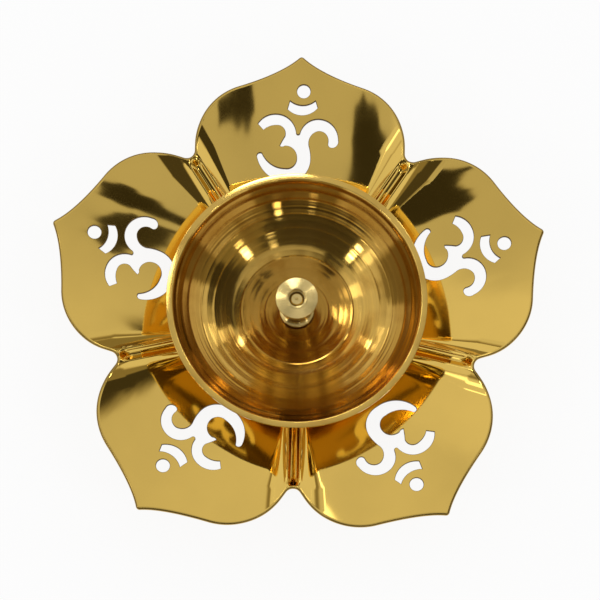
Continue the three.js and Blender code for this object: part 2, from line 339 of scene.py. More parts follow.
def on_petal(petal, point):
    across, outwards = point
    angle = FIRST_PETAL + petal * SECTOR
    return (
        outwards * math.cos(angle) + across * math.sin(angle),
        outwards * math.sin(angle) - across * math.cos(angle),
    )


def outward_normals(points, closed):
    """Unit vectors to the right of the way along, lengthened at corners so that offsets stay even."""
    normals = []
    for i, point in enumerate(points):
        before = points[i - 1] if closed or i else point
        after = points[(i + 1) % len(points)] if closed or i + 1 < len(points) else point
        sides = [Vector((q[1] - p[1], p[0] - q[0])) for p, q in ((before, point), (point, after)) if p != q]
        sides = [side.normalized() for side in sides]
        mean = sum(sides, Vector((0, 0))).normalized()
        normals.append(mean / max(CORNER_LIMIT, mean.dot(sides[0])))
    return normals


# The pressed surface

def place_on_plate(x, y):
    """Across and outwards on the petal, over and along the nearest rib, in millimetres."""
    radius = math.hypot(x, y)
    turn = math.atan2(y, x) - FIRST_PETAL
    from_petal = turn - SECTOR * round(turn / SECTOR)
    from_rib = HALF_SECTOR - abs(from_petal)
    return (
        radius * math.sin(from_petal),
        radius * math.cos(from_petal),
        radius * math.sin(from_rib),
        radius * math.cos(from_rib),
    )


def at_rib(ends, along_rib):
    return lerp(*ends, min(1, max(0, (along_rib - CREST_FULL) / (NOTCH_RADIUS - CREST_FULL))))


def soft_lower(a, b, rounding):
    """The lower of two heights, with the corner between them rounded."""
    blend = max(0, 1 - abs(a - b) / rounding)
    return min(a, b) - blend * blend * rounding / 4


def rib_rise(over_rib, along_rib):
    fade = smoothstep(CREST_START, CREST_FULL, along_rib)
    crest = fade * at_rib(CREST_HEIGHT, along_rib)
    if crest == 0:
        return 0
    inside_lip = 1 - smoothstep(NOTCH_RADIUS - GUTTER_LIP, NOTCH_RADIUS, along_rib)
    open_gutter = fade * inside_lip * GUTTER_DEPTH
    gutter = crest - open_gutter * (1 - (over_rib / CREST_OFFSET) ** 2)
    down = min(1, (over_rib - CREST_OFFSET) / at_rib(FLANK_WIDTH, along_rib))
    return soft_lower(gutter, crest * (1 - down) ** 2, CREST_ROUNDING * fade)


def plate_rise(x, y):
    """Height of the pressed sheet above its flat middle."""
    across, outwards, over_rib, along_rib = place_on_plate(x, y)
    half_width = NOTCH_RADIUS * math.sin(HALF_SECTOR)
    share = max(0, outwards - FLAT_RADIUS) / (TIP_RADIUS - FLAT_RADIUS)
    rise = TIP_RISE * share * (1 + RISE_SWELL * (1 - share))
    fade = smoothstep(FLAT_RADIUS, FLAT_RADIUS + DISH_START, outwards)
    from_ridge = math.hypot(over_rib, RIDGE_ROUNDING * fade) - over_rib
    beside = max(0, abs(across) - from_ridge)
    return rise + fade * DISH_DEPTH * (beside / half_width) ** 2 + rib_rise(over_rib, along_rib)


# The plate's mesh, in millimetres: the lines of its grid, the steps along outlines and the step for slopes
OVER_RIB_LINES = list(accumulate([0.25] * 13 + [0.5] * 10 + [1.5] * 18))
ALONG_RIB_LINES = list(accumulate([1.25] * 66))
RIM_STEP = 0.7
SAW_STEP = 0.45
SLOPE_STEP = 0.02

# A corner lengthens an offset by no more than one over this
CORNER_LIMIT = 0.6

# The plate's edges: fall of the arris against its reach, the most that it takes, and painted shade down it,
# for the dark line that the rounded edge mirrors
ARRIS_STEPS = 5
ARRIS_FALL = 1.6
ARRIS_UPPER = 0.8
ARRIS_LOWER = 0.15
RIM_PAINTED_SHADE = (0, 0.7, 0.9, 0.35, 0.1)
SIDE_PAINTED_SHADE = 0.1

# What counts as on a line or cut, and as one point, in metres
ON_CUT = 1e-7
ON_LINE = 2e-7
WELD = 2e-6


# The petal plate's mesh

def new_sheet():
    """An empty mesh with layers for how far an edge stands out, how much painted shade it takes, and the face
    of a vertex.
    """
    bm = bmesh.new()
    bm.verts.layers.float_vector.new("out")
    bm.verts.layers.float.new("painted_edge_shade")
    bm.verts.layers.float.new("face")
    return bm


def new_loop(bm, points, normals, rounding, closed=True, painted_edge_shade=0):
    """Vertices and edges along flat points in millimetres, drawn back by the rounding of the edge to come."""
    out = bm.verts.layers.float_vector["out"]
    edge_shade_layer = bm.verts.layers.float["painted_edge_shade"]
    verts = []
    for (x, y), normal in zip(points, normals):
        back = normal * rounding
        vert = bm.verts.new(((x - back.x) * MM, (y - back.y) * MM, 0))
        vert[out] = (back.x * MM, back.y * MM, 0)
        # How much painted shade the edge takes: full on the pierced walls
        vert[edge_shade_layer] = painted_edge_shade
        verts.append(vert)
    pairs = zip(verts, verts[1:] + verts[:1] if closed else verts[1:])
    return verts, [bm.edges.new(pair) for pair in pairs]


def cut_along(bm, geometry, point, normal):
    """Cuts the geometry by an upright plane and returns it with what the cut added."""
    plane = {"plane_co": (*point, 0), "plane_no": (*normal, 0)}
    cut = bmesh.ops.bisect_plane(bm, geom=geometry, dist=ON_CUT, **plane)
    return list(dict.fromkeys([*cut["geom"], *cut["geom_cut"]]))


def parts_of(faces):
    """Faces with their edges and vertices, each once."""
    edges = dict.fromkeys(e for f in faces for e in f.edges)
    verts = dict.fromkeys(v for f in faces for v in f.verts)
    return [*faces, *edges, *verts]


def rib_frame(petal, side):
    """Unit vectors along the rib on one side of a petal, and over it towards the petal's middle."""
    cos, sin = math.cos(HALF_SECTOR), math.sin(HALF_SECTOR)
    return Vector(on_petal(petal, (side * sin, cos))), Vector(on_petal(petal, (-side * cos, sin)))


def cut_petal_grid(bm, petal):
    """Cuts a flat petal into cells along its two ribs, fine over the rib and wider on the open sheet."""
    across = Vector(on_petal(petal, (1, 0)))
    cut_along(bm, parts_of(bm.faces[:]), (0, 0), across)
    for side in (1, -1):
        along, over = rib_frame(petal, side)
        geometry = parts_of([f for f in bm.faces if side * across.dot(f.calc_center_median().xy) > 0])
        for way, distances in ((over, OVER_RIB_LINES), (along, ALONG_RIB_LINES)):
            for distance in distances:
                geometry = cut_along(bm, geometry, way * distance * MM, way)


def clear_oblique(bm, petal):
    """Dissolves what is left of the first fill: the edges that lie along no line of the grid."""
    across = Vector(on_petal(petal, (1, 0)))

    def oblique(edge):
        a, b = (v.co.xy for v in edge.verts)
        if max(abs(across.dot(a)), abs(across.dot(b))) < ON_LINE:
            return False
        side = 1 if across.dot(a + b) > 0 else -1
        return all(abs(way.dot(a - b)) > ON_LINE for way in rib_frame(petal, side))

    edges = [e for e in bm.edges if not e.is_boundary and oblique(e)]
    bmesh.ops.dissolve_edges(bm, edges=edges, use_verts=False)
    spare = [v for v in bm.verts if not v.is_boundary and len(v.link_edges) == 2]
    bmesh.ops.dissolve_verts(bm, verts=spare)
    bmesh.ops.triangulate(bm, faces=[f for f in bm.faces if len(f.verts) > 4])


def stencil_on(petal):
    """The outlines of the pierced Om on a petal, each clockwise, in millimetres."""
    side, out, turn = STENCIL_SETTINGS[petal]
    cos, sin = math.cos(math.radians(turn)), math.sin(math.radians(turn))
    dot = sweep(DOT_CENTRE, DOT_RADIUS, 0, 2 * math.pi, DOT_STEPS)[1:]
    outlines = []
    for points in (trace(OM_START, OM_BODY, SAW_STEP), trace(CRESCENT_START, CRESCENT, SAW_STEP), dot):
        placed = [(x * cos - y * sin + side, x * sin + y * cos + STENCIL_CENTRE + out) for x, y in points]
        placed = [on_petal(petal, p) for p in placed]
        area = sum(p[0] * q[1] - q[0] * p[1] for p, q in zip(placed, [*placed[1:], placed[0]]))
        outlines.append(placed[::-1] if area > 0 else placed)
    return outlines


def flat_petal(petal, arris, saw_arris):
    """One fifth of the sheet, flat, cut out and pierced. The arrises are in millimetres."""
    bm = new_sheet()
    right = half_petal(RIM_STEP)
    left = [(-across, outwards) for across, outwards in right[-2::-1]]
    rim = [on_petal(petal, p) for p in [*right, *left]]
    rim_out = outward_normals(rim, closed=False)
    rim_out[0], rim_out[-1] = rib_frame(petal, 1)[0], rib_frame(petal, -1)[0]
    hole = sweep((0, 0), STUD_HOLE / MM, math.pi / 2 + HALF_SECTOR, math.pi / 2 - HALF_SECTOR, HOLE_STEPS)
    hole = [on_petal(petal, p) for p in hole]
    rim_verts, edges = new_loop(bm, rim, rim_out, arris, closed=False)
    hole_out = [-Vector(p).normalized() for p in hole]
    hole_verts, hole_edges = new_loop(bm, hole, hole_out, saw_arris, closed=False)
    rib_ends = ((rim_verts[-1], hole_verts[0]), (hole_verts[-1], rim_verts[0]))
    edges += [*hole_edges, *(bm.edges.new(pair) for pair in rib_ends)]
    for points in stencil_on(petal):
        # The pierced walls take full painted shade
        edges += new_loop(bm, points, outward_normals(points, closed=True), saw_arris, painted_edge_shade=1)[1]
    bmesh.ops.triangle_fill(bm, edges=edges, use_beauty=True, use_dissolve=False, normal=(0, 0, 1))
    cut_petal_grid(bm, petal)
    clear_oblique(bm, petal)
    return bm


def add_flat_flower(bm, arris, saw_arris):
    """All petals in one flat sheet, welded along the ribs."""
    for petal in range(PETALS):
        mesh = new_mesh(flat_petal(petal, arris, saw_arris), "petal")
        bm.from_mesh(mesh)
        bpy.data.meshes.remove(mesh)
    bmesh.ops.remove_doubles(bm, verts=bm.verts[:], dist=WELD)


def thicken_sheet(bm, thickness, steps):
    """Turns the free edges down, with a tall arris above and a low one below, and closes the underside."""
    out = bm.verts.layers.float_vector["out"]
    edge_shade_layer = bm.verts.layers.float["painted_edge_shade"]
    face = bm.verts.layers.float["face"]
    top = bm.faces[:]
    edges = [e for e in bm.edges if e.is_boundary]
    quarter = [math.pi / 2 * i / steps for i in range(steps + 1)]
    angles = [*quarter, *(math.pi / 2 + a for a in quarter)]
    for i, (before, angle) in enumerate(zip(angles, angles[1:])):
        made = bmesh.ops.extrude_edge_only(bm, edges=edges)["geom"]
        edges = [g for g in made if isinstance(g, bmesh.types.BMEdge) and g.is_boundary]
        for vert in {v for e in edges for v in e.verts}:
            upper = min(vert[out].length * ARRIS_FALL, thickness * ARRIS_UPPER)
            lower = min(vert[out].length, thickness * ARRIS_LOWER)
            vert.co += vert[out] * (math.sin(angle) - math.sin(before))
            vert.co.z -= (upper if i < steps else lower) * (math.cos(before) - math.cos(angle))
            if i == steps:
                vert.co.z -= thickness - upper - lower
            # Painted shade down the rim's and the hole's arris, darkest near its middle; the pierced walls
            # keep their full painted shade
            if vert[edge_shade_layer] < 1:
                vert[edge_shade_layer] = RIM_PAINTED_SHADE[i] if i < steps else SIDE_PAINTED_SHADE
    for side, verts in ((1, {v for f in top for v in f.verts}), (-1, {v for e in edges for v in e.verts})):
        for vert in verts:
            vert[face] = side
            vert[edge_shade_layer] = 0
    made = bmesh.ops.duplicate(bm, geom=parts_of(top))["geom"]
    below = [g for g in made if isinstance(g, bmesh.types.BMFace)]
    bmesh.ops.reverse_faces(bm, faces=below)
    underside = [g for g in made if isinstance(g, bmesh.types.BMVert)]
    for vert in underside:
        vert[face] = -1
    bmesh.ops.translate(bm, vec=(0, 0, -thickness), verts=underside)
    bmesh.ops.remove_doubles(bm, verts=bm.verts[:], dist=WELD)
    bm.verts.layers.float_vector.remove(bm.verts.layers.float_vector["out"])


def lift_to_surface(bm):
    """Moves a flat sheet, whose top is at zero, onto the pressed surface."""
    for vert in bm.verts:
        vert.co.z += PLATE_TOP + plate_rise(vert.co.x / MM, vert.co.y / MM) * MM


def surface_normal(x, y):
    """Upward normal of the pressed surface."""
    east, west = plate_rise(x + SLOPE_STEP, y), plate_rise(x - SLOPE_STEP, y)
    north, south = plate_rise(x, y + SLOPE_STEP), plate_rise(x, y - SLOPE_STEP)
    return Vector((west - east, south - north, 2 * SLOPE_STEP)).normalized()


def shade_surface(mesh):
    """Gives the sheet's two faces the pressed surface's own normals, which uneven cells would blur."""
    places = [v.co / MM for v in mesh.vertices]
    sides = [item.value for item in mesh.attributes["face"].data]
    normals = [surface_normal(p.x, p.y) * side if side else Vector() for p, side in zip(places, sides)]
    mesh.normals_split_custom_set_from_vertices(normals)


# Turned pieces, as profiles of (radius, height) in metres that go out along the bottom and in along the top

def rounded(corners):
    """A closed profile: where a corner has a third number, it is cut back by that much and rounded."""
    points = []
    for i, corner in enumerate(corners):
        if len(corner) == 2:
            points.append(corner)
            continue
        here = Vector(corner[:2])
        before, after = (Vector(corners[j % len(corners)][:2]) for j in (i - 1, i + 1))
        start = here + (before - here).normalized() * corner[2]
        end = here + (after - here).normalized() * corner[2]
        points += [tuple(start), *bend(start, here, end, EDGE_STEPS)]
    return points


def spin(bm, geometry, steps, merge, rise=0):
    """One full turn about Z, which climbs by the rise at each step."""
    turn = {"axis": (0, 0, 1), "cent": (0, 0, 0), "angle": 2 * math.pi, "dvec": (0, 0, rise)}
    bmesh.ops.spin(bm, geom=geometry, steps=steps, use_merge=merge, use_duplicate=False, **turn)


def lathe(bm, profile, steps, closed=True):
    """Spins a profile about Z. Ends on the axis are welded to a pole."""
    verts = [bm.verts.new((radius, 0, height)) for radius, height in profile]
    pairs = zip(verts, verts[1:] + verts[:1] if closed else verts[1:])
    edges = [bm.edges.new(pair) for pair in pairs if pair[0].co.x + pair[1].co.x > 0]
    spin(bm, [*verts, *edges], steps, merge=True)
    bmesh.ops.remove_doubles(bm, verts=bm.verts[:], dist=ON_LINE)
    bmesh.ops.recalc_face_normals(bm, faces=bm.faces[:])


def turned(profile, steps):
    bm = bmesh.new()
    lathe(bm, profile, steps)
    return bm


def foot_profile(sizes):
    edge = sizes.broken_edge
    socket = STUD_BOTTOM - STUD_CLEARANCE
    cove_top = (sizes.foot_top_radius, FOOT_TOP - sizes.foot_top_edge)
    cove_foot = (FOOT_RADIUS - sizes.foot_rounding, sizes.foot_edge)
    return rounded([
        (0, 0),
        (FOOT_RADIUS, 0, sizes.foot_rounding),
        (FOOT_RADIUS, sizes.foot_edge, sizes.foot_rounding),
        *bend(cove_foot, (sizes.foot_waist, sizes.foot_edge), cove_top, COVE_STEPS),
        (sizes.foot_top_radius, FOOT_TOP, edge),
        (STUD_HOLE, FOOT_TOP, edge),
        (STUD_HOLE, socket),
        (0, socket),
    ])


def turning_relief(radius):
    """Height of the turning marks inside the bowl at a radius, both in millimetres."""
    waves = sum(high * math.sin(2 * math.pi * radius / wave + phase) for high, wave, phase in BOWL_WAVES)
    grooves = sum(depth * max(0, 1 - abs(radius - middle) / width) for middle, width, depth in BOWL_GROOVES)
    return waves - grooves


def bowl_profile(sizes):
    edge = sizes.broken_edge
    inner_edge = (RIM_RADIUS - sizes.rim_width, RIM_TOP)
    middle = (sizes.bowl_bend_radius, RIM_TOP - sizes.bowl_bend_depth)
    floor_edge = (sizes.bowl_floor_radius, BOWL_FLOOR)
    centre, radius, _ = circle_through(inner_edge, middle, floor_edge)
    inside = []
    for x, z in arc(inner_edge, middle, floor_edge, BOWL_STEP)[2:-1]:
        reach = (radius - turning_relief(x / MM) * MM) / radius
        inside.append((centre[0] + (x - centre[0]) * reach, centre[1] + (z - centre[1]) * reach))
    outer = math.dist(centre, (RIM_RADIUS, RIM_TOP - sizes.rim_edge))
    start, end = (-math.acos((x - centre[0]) / outer) for x in (sizes.bowl_ring_radius, RIM_RADIUS))
    ring_inside = sizes.bowl_ring_radius - sizes.bowl_ring_wall
    return rounded([
        (STUD_HOLE, BOWL_UNDERSIDE, edge),
        (ring_inside, BOWL_UNDERSIDE, edge),
        (ring_inside, PLATE_TOP, edge),
        (sizes.bowl_ring_radius, PLATE_TOP, edge),
        *sweep(centre, outer, start, end, WALL_STEPS),
        (RIM_RADIUS, RIM_TOP, edge),
        (*inner_edge, edge),
        *inside,
        floor_edge,
        (STUD_HOLE, BOWL_FLOOR, edge),
    ])


def mark_outside_and_painted_shade(bm, rim_inside):
    """Marks the polished outside, and how much painted shade the inside takes: most on its floor and its
    upper wall.
    """
    outside = bm.verts.layers.float.new("outside")
    painted_bowl_shade = bm.verts.layers.float.new("painted_bowl_shade")
    bm.normal_update()
    for vert in bm.verts:
        radius = vert.co.xy.length
        vert[outside] = 1 if vert.normal.z < OUTSIDE_RISE else 0
        if vert.normal.z > 0 and radius < rim_inside:
            on_floor = FLOOR_PAINTED_SHADE * (1 - smoothstep(*FLOOR_FADE, radius))
            vert[painted_bowl_shade] = INSIDE_PAINTED_SHADE + on_floor + WALL_PAINTED_SHADE * smoothstep(*WALL_FADE, radius)


def post_profile(sizes):
    edge = sizes.broken_edge
    flange_top = POST_BOTTOM + sizes.post_flange
    head_under = POST_TOP - sizes.head_drop - sizes.head_edge
    flare, stem = sizes.stem_flare, sizes.stem_radius
    flange_edge = (sizes.post_flange_radius, flange_top)
    lower = bend(flange_edge, (stem, flange_top), (stem, flange_top + flare), FLARE_STEPS)
    upper = bend((stem, head_under - flare), (stem, head_under), (POST_HEAD, head_under), FLARE_STEPS)
    return rounded([
        (STUD_HOLE, POST_BOTTOM, edge),
        (sizes.post_flange_radius, POST_BOTTOM, edge),
        (*flange_edge, edge),
        *lower,
        (stem, head_under - flare),
        *upper[:-1],
        (POST_HEAD, head_under, edge),
        (POST_HEAD, POST_TOP - sizes.head_drop, edge),
        (sizes.lip_radius, POST_TOP - sizes.lip_step),
        (sizes.lip_radius, POST_TOP, sizes.lip_step / 2),
        (sizes.cup_radius, POST_TOP, edge),
        (sizes.cup_radius, POST_TOP - sizes.cup_depth),
        (STUD_HOLE, POST_TOP - sizes.cup_depth),
    ])


def ring_profile(node, edge):
    """A flat ring over the stud, in the place of a node."""
    bottom, top, radius = low(node).z, high(node).z, high(node).x
    corners = ((STUD_HOLE, bottom), (radius, bottom), (radius, top), (STUD_HOLE, top))
    return rounded([(*corner, edge) for corner in corners])


def hex_nut(sizes):
    """A turned blank with chamfered corners, milled to six flats."""
    bottom, top, corner = low("plate_nut").z, high("plate_nut").z, high("plate_nut").x
    flat = corner * math.cos(math.pi / NUT_SIDES)
    fall = (corner - flat) * math.tan(NUT_CHAMFER)
    edge = sizes.broken_edge
    bore = ((STUD_HOLE, top, edge), (STUD_HOLE, bottom, edge))
    blank = [*bore, (flat, bottom), (corner, bottom + fall), (corner, top - fall), (flat, top)]
    bm = turned(rounded(blank), RING_STEPS)
    for side in range(NUT_SIDES):
        angle = (side + 0.5) * 2 * math.pi / NUT_SIDES
        way = Vector((math.cos(angle), math.sin(angle), 0))
        geometry = parts_of(bm.faces[:])
        plane = {"plane_co": way * flat, "plane_no": way, "dist": ON_LINE}
        bmesh.ops.bisect_plane(bm, geom=geometry, clear_outer=True, **plane)
        bmesh.ops.holes_fill(bm, edges=[e for e in bm.edges if e.is_boundary], sides=0)
    bmesh.ops.recalc_face_normals(bm, faces=bm.faces[:])
    return bm


def threaded_stud(sizes):
    """A threaded rod with a plain tip over a short relief, its end faced and centre-drilled."""
    pitch, root = sizes.thread_pitch, STUD_RADIUS - sizes.thread_depth
    relief = STUD_TOP - sizes.stud_tip
    tooth = tuple(zip((root, root, STUD_RADIUS, STUD_RADIUS), THREAD_TOOTH))
    turns = math.ceil((relief - STUD_BOTTOM) / pitch) + 2
    start = STUD_BOTTOM - pitch
    points = [(radius, start + (turn + share) * pitch) for turn in range(turns) for radius, share in tooth]
    bm = bmesh.new()
    verts = [bm.verts.new((radius, 0, height)) for radius, height in points]
    edges = [bm.edges.new(pair) for pair in zip(verts, verts[1:])]
    spin(bm, [*verts, *edges], THREAD_STEPS, merge=False, rise=pitch / THREAD_STEPS)
    bmesh.ops.remove_doubles(bm, verts=bm.verts[:], dist=WELD)
    for height, way in ((relief, 1), (STUD_BOTTOM, -1)):
        plane = {"plane_co": (0, 0, height), "plane_no": (0, 0, way), "dist": ON_LINE}
        bmesh.ops.bisect_plane(bm, geom=parts_of(bm.faces[:]), clear_outer=True, **plane)
    low_end = [e for e in bm.edges if e.is_boundary and e.verts[0].co.z < BOWL_FLOOR]
    bmesh.ops.holes_fill(bm, edges=low_end, sides=0)
    neck = root - NECK_CLEARANCE
    edge = sizes.broken_edge
    tip = rounded([
        (neck, relief),
        (neck, relief + sizes.stud_relief),
        (STUD_RADIUS, relief + sizes.stud_relief, edge),
        (STUD_RADIUS, STUD_TOP - sizes.tip_chamfer),
        (STUD_RADIUS - sizes.tip_chamfer, STUD_TOP),
        (sizes.centre_mark, STUD_TOP),
        (0, STUD_TOP - sizes.centre_mark * math.tan(DRILL_SLOPE)),
    ])
    lathe(bm, tip, THREAD_STEPS, closed=False)
    step = [e for e in bm.edges if e.is_boundary]
    bmesh.ops.triangle_fill(bm, edges=step, use_beauty=True, use_dissolve=False, normal=(0, 0, 1))
    bmesh.ops.recalc_face_normals(bm, faces=bm.faces[:])
    return bm


def new_mesh(bm, name):
    """A mesh of the finished bmesh, which it frees."""
    mesh = bpy.data.meshes.new(name)
    bm.to_mesh(mesh)
    bm.free()
    return mesh


def add_object(name, data):
    made = bpy.data.objects.new(name, data)
    bpy.context.scene.collection.objects.link(made)
    return made


def add_piece(bm, name, node, body, slot):
    """Makes a finished mesh a piece that stands for a CAD node and rides on its body."""
    mesh = new_mesh(bm, name)
    if not mesh.polygons:
        raise RuntimeError(f"{name} came out empty")
    mesh.shade_smooth()
    mesh.set_sharp_from_angle(angle=CREASE)
    mesh.materials.append(finish_of(slot))
    piece = add_object(name, mesh)
    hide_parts(node)
    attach(piece, body)
    return piece


# Materials

class Wire:
    """A node's output in a Python expression: each operator adds its Math node."""

    def __init__(self, graph, socket):
        self.graph = graph
        self.socket = socket

    def math(self, operation, *others):
        return self.graph.node("Math", {"operation": operation}, dict(enumerate((self, *others))))

    def __add__(self, other):
        return self.math("ADD", other)

    def __radd__(self, other):
        return self.math("ADD", other)

    def __sub__(self, other):
        return self.math("SUBTRACT", other)

    def __rsub__(self, other):
        return self.graph.node("Math", {"operation": "SUBTRACT"}, {0: other, 1: self})

    def __mul__(self, other):
        return self.math("MULTIPLY", other)

    def __rmul__(self, other):
        return self.math("MULTIPLY", other)

    def __pow__(self, other):
        return self.math("POWER", other)


class Graph:
    """A material's or world's node tree."""

    def __init__(self, owner):
        owner.use_nodes = True
        self.tree = owner.node_tree
        self.tree.nodes.clear()

    def node(self, kind, settings=None, sockets=None, output=0):
        """Adds a node by its type, its settings, and the values or links of its sockets."""
        node = self.tree.nodes.new("ShaderNode" + kind)
        for name, value in (settings or {}).items():
            setattr(node, name, value)
        for name, value in (sockets or {}).items():
            if isinstance(value, Wire):
                self.tree.links.new(value.socket, node.inputs[name])
            else:
                node.inputs[name].default_value = value
        return Wire(self, node.outputs[output]) if node.outputs else None

    def place(self):
        return self.node("TexCoord", output="Object")

    def rays(self):
        """Whether a ray comes from the camera, from a mirroring surface or through a clear one."""
        kinds = ("Camera", "Glossy", "Transmission")
        return [self.node("LightPath", output=f"Is {kind} Ray") for kind in kinds]

    def attribute(self, name):
        return self.node("Attribute", {"attribute_name": name}, output="Fac")

    def noise(self, place, scale, detail, roughness=0.5):
        sockets = {"Vector": place, "Scale": scale, "Detail": detail, "Roughness": roughness}
        return self.node("TexNoise", sockets=sockets)

    def rings(self, radius, scale, detail, roughness):
        sockets = {"W": radius, "Scale": scale, "Detail": detail, "Roughness": roughness}
        return self.node("TexNoise", {"noise_dimensions": "1D"}, sockets)

    def ramp(self, value, start, end, low_value=0.0, high_value=1.0):
        ends = {"Value": value, "From Min": start, "From Max": end, "To Min": low_value, "To Max": high_value}
        return self.node("MapRange", {"interpolation_type": "SMOOTHSTEP"}, ends)

    def mix(self, share, a, b):
        return self.node("Mix", {"data_type": "RGBA"}, {0: share, 6: a, 7: b}, 2)

    def dot(self, a, b):
        return self.node("VectorMath", {"operation": "DOT_PRODUCT"}, {0: a, 1: b}, "Value")

    def vector(self, operation, a, b):
        """Vector maths with a second vector, or with a scale."""
        second = "Scale" if operation == "SCALE" else 1
        return self.node("VectorMath", {"operation": operation}, {0: a, second: b})

    def bump(self, height, distance):
        return self.node("Bump", sockets={"Height": height, "Distance": distance, "Strength": 1.0})

    def radius(self, place):
        axes = self.node("SeparateXYZ", sockets={0: place})
        x, y = axes, Wire(self, axes.socket.node.outputs["Y"])
        return (x * x + y * y) ** 0.5

    def surface(self, **sockets):
        named = {name.replace("_", " "): value for name, value in sockets.items()}
        self.node("OutputMaterial", sockets={"Surface": self.node("BsdfPrincipled", sockets=named)})


def shade(colour, factor):
    return (*(c * factor for c in colour), 1)


def buffed_sheet(graph, place, finish):
    """Buffed sheet: bright, with faint waves and thumbed, duller patches, and painted shade down the edges'
    arrises and on the pierced walls, which would mirror the shaded floor under the plate.
    """
    patches = graph.ramp(graph.noise(place, scale=38, detail=3), start=0.35, end=0.75)
    fine = graph.noise(place, scale=900, detail=3)
    waves = graph.noise(place, scale=70, detail=1)
    # Painted shade down the edges' arrises and on the pierced walls
    painted_edge_shade = graph.attribute("painted_edge_shade")
    buffed = graph.mix(patches, shade(finish.sheet_colour, 1), shade(finish.sheet_colour, 0.93))
    graph.surface(
        Base_Color=graph.mix(painted_edge_shade, buffed, (*finish.painted_edge_shade_colour, 1)),
        Metallic=1.0,
        Roughness=finish.sheet_roughness + patches * 0.035 + fine * 0.015 + painted_edge_shade * 0.4,
        Normal=graph.bump(waves + fine * 0.01, finish.buffing_waves),
    )


def lathe_turned_brass(graph, place, finish):
    """Lathe-turned and polished inside: rings of finer and coarser marks that draw light across them, painted
    into the colour too as light and dark bands over painted shade and stains; the outside's brighter colour
    is painted light.
    """
    radius = graph.radius(place)
    bands = graph.rings(radius, scale=420, detail=4, roughness=0.6)
    marks = graph.rings(radius, scale=2600, detail=3, roughness=0.7)
    stains = graph.ramp(graph.noise(place, scale=90, detail=4), start=0.45, end=0.8)
    painted_bowl_shade = graph.attribute("painted_bowl_shade")
    outside = graph.attribute("outside")
    # Rings of lit and shaded copies of the brass: painted light and shade
    painted_ring_light_and_shade = graph.mix(bands, shade(finish.bowl_colour, 0.5), shade(finish.bowl_colour, 1.22))
    # The outside takes its brighter colour of painted light; the inside, the painted rings
    metal = graph.mix(outside, painted_ring_light_and_shade, (*finish.bowl_outside_painted_light, 1))
    graph.surface(
        # Painted shade inside the bowl, with random stains added
        Base_Color=graph.mix((painted_bowl_shade + stains * 0.5) * (1 - outside), metal, (*finish.bowl_shade_and_stains, 1)),
        Metallic=1.0,
        Roughness=finish.bowl_roughness + bands * 0.03 + stains * 0.04,
        Anisotropic=0.85,
        Anisotropic_Rotation=0.25,
        Normal=graph.bump(bands * 0.6 + marks * 0.4, finish.turning_marks),
    )


def satin_turned_brass(graph, place, finish):
    """As turned: paler, with fine tool marks round the axis."""
    marks = graph.rings(graph.radius(place), scale=3800, detail=3, roughness=0.7)
    stains = graph.ramp(graph.noise(place, scale=160, detail=3), start=0.4, end=0.8)
    graph.surface(
        Base_Color=graph.mix(stains, shade(finish.post_colour, 1), shade(finish.post_colour, 0.82)),
        Metallic=1.0,
        Roughness=finish.post_roughness + marks * 0.1,
        Anisotropic=0.95,
        Anisotropic_Rotation=0.25,
        Normal=graph.bump(marks, finish.turning_marks * 0.6),
    )


def pressed_fibre(graph, place, finish):
    """Pressed brown fibre, speckled and matt."""
    speckle = graph.noise(place, scale=2400, detail=3, roughness=0.7)
    graph.surface(
        Base_Color=graph.mix(speckle, shade(finish.seal_colour, 0.7), shade(finish.seal_colour, 1.3)),
        Roughness=0.75 + speckle * 0.15,
        Normal=graph.bump(speckle, 0.05 * MM),
    )


FINISHES = {
    "polished_brass": buffed_sheet,
    "turned_brass": lathe_turned_brass,
    "satin_brass": satin_turned_brass,
    "seal": pressed_fibre,
}


def finish_of(slot):
    """The material of a slot, made when the first piece asks for it."""
    paint = FINISHES[slot]
    material = bpy.data.materials.get(paint.__name__)
    if material is None:
        material = bpy.data.materials.new(paint.__name__)
        graph = Graph(material)
        paint(graph, graph.place(), bpy.context.scene.diya_finish)
    return material


# Studio

def toward(azimuth, elevation):
    """Unit vector from the lamp towards an azimuth and elevation in degrees."""
    turn, lift = math.radians(azimuth), math.radians(elevation)
    return Vector((math.cos(turn) * math.cos(lift), math.sin(turn) * math.cos(lift), math.sin(lift)))


def on_card(graph, way, azimuth, elevation, width, height, soft):
    """How much of a card a direction meets, from 0 to 1."""
    ahead = toward(azimuth, elevation)
    across = toward(azimuth + 90, 0)
    share = graph.ramp(graph.dot(way, ahead), 0.0, 0.1)
    for axis, size in ((across, width), (ahead.cross(across), height)):
        offset = graph.dot(way, axis).math("ABSOLUTE")
        edge = (math.sin(math.radians(size / 2)), math.sin(math.radians(size / 2 + soft)))
        share = share * graph.ramp(offset, *edge, 1.0, 0.0)
    return share


